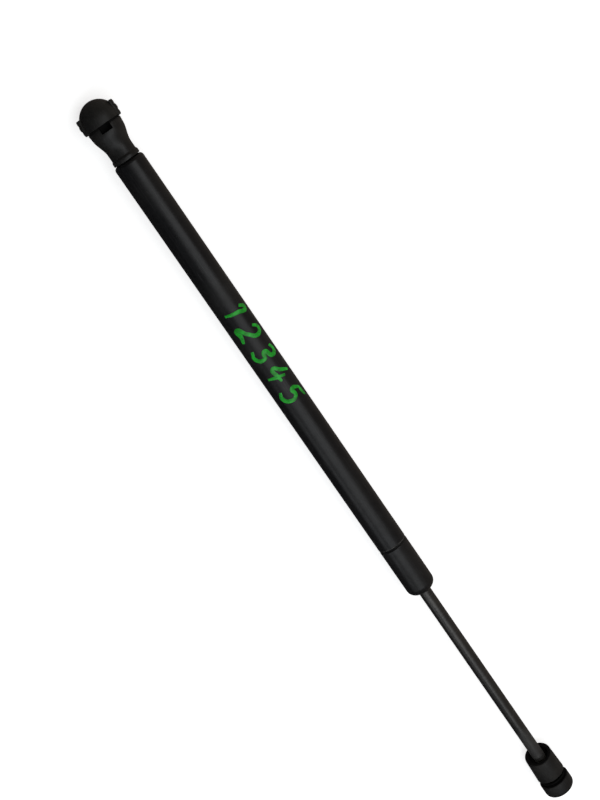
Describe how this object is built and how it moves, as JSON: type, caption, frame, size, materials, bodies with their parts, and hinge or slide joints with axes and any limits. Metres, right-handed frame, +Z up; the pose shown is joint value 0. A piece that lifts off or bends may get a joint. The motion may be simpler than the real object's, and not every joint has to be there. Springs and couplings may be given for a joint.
{
  "type": "gas spring strut",
  "caption": "Slim gas spring strut with a black tube, a dark sliding rod and a push-fit ball socket at each end, one under a domed release cap.",
  "frame": {"origin": "middle of the strut's length and width, on the surface that the rims of its two sockets lie on", "axes": "+X along the strut from the cylinder's end towards the rod's end, +Z up, away from the mouths of the two ball sockets"},
  "size_m": [0.5224, 0.0246, 0.0233],
  "materials": {
    "black_paint": "satin black stoving paint on drawn steel tube",
    "black_nylon": "fine-grained black glass-filled nylon moulding",
    "spring_wire": "oiled dark spring wire",
    "black_rod": "dark nitrided and polished rod",
    "plain_steel": "plain turned steel",
    "black_rubber": "matt black nitrile rubber",
    "bronze": "sintered bronze",
    "acetal": "off-white acetal",
    "light_alloy": "die-cast light alloy"
  },
  "bodies": {
    "cylinder": {"cylinder_tube": "black_paint", "tube_end_socket": "black_nylon", "tube_end_clip": "spring_wire", "base_stud": "plain_steel", "end_plug": "plain_steel", "plug_o_ring": "black_rubber", "support_washer": "plain_steel", "rod_seal": "black_rubber", "backing_washer": "acetal", "spacer_sleeve": "acetal", "rod_guide": "bronze", "wiper_ring": "black_rubber"},
    "cap": {"tube_end_cap": "black_nylon"},
    "stroke": {"piston_ring": "acetal"},
    "rod": {"piston_rod": "black_rod", "piston": "light_alloy", "stop_washer": "plain_steel", "rivet_washer": "plain_steel", "rod_end_socket": "black_nylon", "rod_end_clip": "spring_wire"}
  },
  "joints": [
    {"name": "cap_pull", "type": "slide", "parent": "cylinder", "child": "cap", "axis": [-1, 0, 0], "range_m": [0, 0.016]},
    {"name": "rod_slide", "type": "slide", "parent": "cylinder", "child": "stroke", "axis": [1, 0, 0], "range_m": [-0.13, 0], "stiffness_N_per_m": 400, "springref_m": 0.5},
    {"name": "rod_swivel", "type": "hinge", "parent": "stroke", "child": "rod", "pos_m": [0, 0, 0.0125], "axis": [1, 0, 0], "continuous": true}
  ]
}
